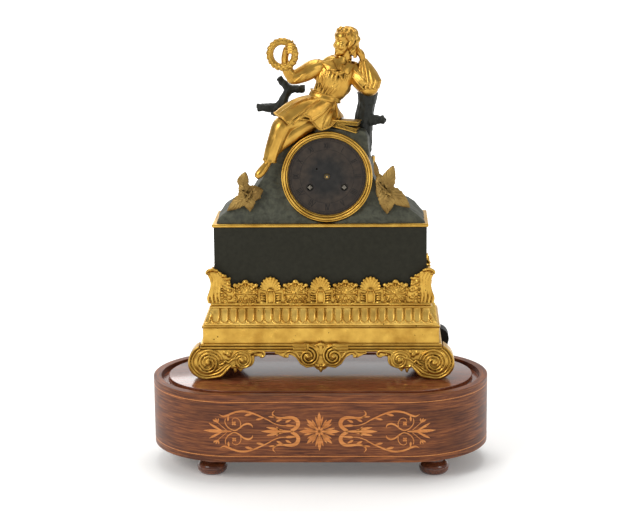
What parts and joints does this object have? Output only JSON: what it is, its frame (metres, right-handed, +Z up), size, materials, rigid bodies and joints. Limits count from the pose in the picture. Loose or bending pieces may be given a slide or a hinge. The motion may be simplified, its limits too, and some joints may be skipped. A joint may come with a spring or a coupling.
{
  "type": "mantel clock",
  "caption": "Gilt and patinated bronze mantel clock: a seated figure with a wreath on a rock terrace with a round dial, on a black plinth with a gilt base, on an inlaid oval wooden stand.",
  "frame": {"origin": "on the floor, under the middle of the wooden stand", "axes": "+Z up, +X to the viewer's right, the dial faces -Y"},
  "size_m": [0.3944, 0.1928, 0.5115],
  "materials": {
    "gilt_bronze": "mercury-gilt bronze, satin, with darker recesses and small pits",
    "leaf_bronze": "worn gilding, browned in the recesses",
    "patinated_bronze": "green-black patina, dull",
    "black_bronze": "olive-black patina, satin",
    "dark_dial": "browned, dull, with faint darker hour numerals",
    "brass": "lacquered rolled brass",
    "steel": "ground steel",
    "rosewood": "french-polished rosewood veneer with maple inlay",
    "pine": "planed softwood, unpolished"
  },
  "bodies": {
    "case": {"stand_wall": "rosewood", "stand_top_board": "rosewood", "stand_bottom_board": "pine", "stand_foot_front_left": "rosewood", "stand_foot_front_right": "rosewood", "stand_foot_back_left": "rosewood", "stand_foot_back_right": "rosewood", "foot_front_left": "gilt_bronze", "foot_front_right": "gilt_bronze", "foot_back_left": "black_bronze", "foot_back_right": "black_bronze", "base_frame": "gilt_bronze", "apron_mount": "gilt_bronze", "fluted_cove": "gilt_bronze", "gallery_front": "gilt_bronze", "gallery_left": "gilt_bronze", "gallery_right": "gilt_bronze", "plinth_case": "black_bronze", "plinth_bead": "gilt_bronze", "rock_terrace": "patinated_bronze", "tree_stump": "patinated_bronze", "left_branch": "patinated_bronze", "leaf_mount_left": "leaf_bronze", "leaf_mount_right": "leaf_bronze", "figure_torso": "gilt_bronze", "figure_head": "gilt_bronze", "figure_right_arm": "gilt_bronze", "figure_left_arm": "gilt_bronze", "figure_legs": "gilt_bronze", "wreath": "gilt_bronze", "book": "gilt_bronze", "bezel": "gilt_bronze", "dial": "dark_dial", "front_plate": "brass", "back_plate": "brass", "suspension_cock": "brass", "bell": "brass", "back_bezel": "brass", "door_hinge_pin": "steel"},
    "cannon": {"cannon_pinion": "steel"},
    "minute": {"minute_wheel": "brass"},
    "hour": {"hour_wheel": "brass"},
    "escape": {"escape_wheel": "brass"},
    "third": {"third_wheel": "brass"},
    "centre": {"centre_wheel": "brass"},
    "intermediate": {"intermediate_wheel": "brass"},
    "going_drum": {"going_barrel": "brass", "going_mainspring": "steel"},
    "warning": {"warning_wheel": "brass"},
    "fly_vane": {"fly": "brass"},
    "pins": {"pin_wheel": "brass"},
    "strike_second": {"strike_second_wheel": "brass"},
    "strike_drum": {"strike_barrel": "brass", "strike_mainspring": "steel"},
    "swing": {"pendulum": "brass"},
    "pallets": {"anchor": "steel"},
    "going_arbor": {"going_winding_arbor": "steel"},
    "strike_arbor": {"strike_winding_arbor": "steel"},
    "strike_hammer": {"hammer": "steel"},
    "rear_door": {"back_door": "brass"}
  },
  "joints": [
    {"name": "cannon_turn", "type": "hinge", "parent": "case", "child": "cannon", "pos_m": [0.0104, -0.01, 0.342], "axis": [0, 1, 0], "continuous": true},
    {"name": "minute_turn", "type": "hinge", "parent": "case", "child": "minute", "pos_m": [0.0104, -0.006, 0.354], "axis": [0, 1, 0], "continuous": true},
    {"name": "hour_turn", "type": "hinge", "parent": "case", "child": "hour", "pos_m": [0.0104, -0.01, 0.342], "axis": [0, 1, 0], "continuous": true},
    {"name": "escape_turn", "type": "hinge", "parent": "case", "child": "escape", "pos_m": [0.0104, 0.014, 0.36891], "axis": [0, 1, 0], "continuous": true},
    {"name": "third_turn", "type": "hinge", "parent": "case", "child": "third", "pos_m": [0.0104, 0.014, 0.35565], "axis": [0, 1, 0], "continuous": true},
    {"name": "centre_turn", "type": "hinge", "parent": "case", "child": "centre", "pos_m": [0.0104, 0.014, 0.342], "axis": [0, 1, 0], "continuous": true},
    {"name": "intermediate_turn", "type": "hinge", "parent": "case", "child": "intermediate", "pos_m": [0.02297, 0.014, 0.34902], "axis": [0, 1, 0], "continuous": true},
    {"name": "going_drum_turn", "type": "hinge", "parent": "case", "child": "going_drum", "pos_m": [0.0302, 0.014, 0.3293], "axis": [0, 1, 0], "continuous": true},
    {"name": "warning_turn", "type": "hinge", "parent": "case", "child": "warning", "pos_m": [-0.00074, 0.014, 0.36874], "axis": [0, 1, 0], "continuous": true},
    {"name": "fly_turn", "type": "hinge", "parent": "case", "child": "fly_vane", "pos_m": [-0.00668, 0.014, 0.37468], "axis": [0, 1, 0], "continuous": true},
    {"name": "pin_turn", "type": "hinge", "parent": "case", "child": "pins", "pos_m": [-0.00907, 0.014, 0.36097], "axis": [0, 1, 0], "continuous": true},
    {"name": "strike_second_turn", "type": "hinge", "parent": "case", "child": "strike_second", "pos_m": [-0.00217, 0.014, 0.34902], "axis": [0, 1, 0], "continuous": true},
    {"name": "strike_drum_turn", "type": "hinge", "parent": "case", "child": "strike_drum", "pos_m": [-0.0094, 0.014, 0.3293], "axis": [0, 1, 0], "continuous": true},
    {"name": "pendulum_swing", "type": "hinge", "parent": "case", "child": "swing", "pos_m": [0.0104, 0.037, 0.37941], "axis": [0, 1, 0], "range_deg": [-4, 4]},
    {"name": "anchor_rock", "type": "hinge", "parent": "case", "child": "pallets", "pos_m": [0.0104, 0.014, 0.37941], "axis": [0, 1, 0], "range_deg": [-4, 4]},
    {"name": "going_wind", "type": "hinge", "parent": "case", "child": "going_arbor", "pos_m": [0.0302, 0, 0.3293], "axis": [0, 1, 0], "range_deg": [0, 2160]},
    {"name": "strike_wind", "type": "hinge", "parent": "case", "child": "strike_arbor", "pos_m": [-0.0094, 0, 0.3293], "axis": [0, 1, 0], "range_deg": [0, 2160]},
    {"name": "hammer_lift", "type": "hinge", "parent": "case", "child": "strike_hammer", "pos_m": [-0.0196, 0.04, 0.354], "axis": [0, 1, 0], "range_deg": [0, 10], "stiffness_Nm_per_rad": 0.08},
    {"name": "door_swing", "type": "hinge", "parent": "case", "child": "rear_door", "pos_m": [0.0636, 0.0619, 0.342], "axis": [0, 0, -1], "range_deg": [0, 110]}
  ],
  "couplings": [
    {"joint": "minute_turn", "follows": "cannon_turn", "ratio": -0.33333},
    {"joint": "hour_turn", "follows": "cannon_turn", "ratio": 0.083333},
    {"joint": "third_turn", "follows": "escape_turn", "ratio": -0.083333},
    {"joint": "centre_turn", "follows": "escape_turn", "ratio": 0.0069444},
    {"joint": "intermediate_turn", "follows": "escape_turn", "ratio": -0.0013889},
    {"joint": "going_drum_turn", "follows": "escape_turn", "ratio": 0.00023148},
    {"joint": "fly_turn", "follows": "warning_turn", "ratio": -3.6667},
    {"joint": "pin_turn", "follows": "warning_turn", "ratio": -0.1875},
    {"joint": "strike_second_turn", "follows": "warning_turn", "ratio": 0.028125},
    {"joint": "strike_drum_turn", "follows": "warning_turn", "ratio": -0.0046875},
    {"joint": "anchor_rock", "follows": "pendulum_swing", "ratio": 1}
  ]
}
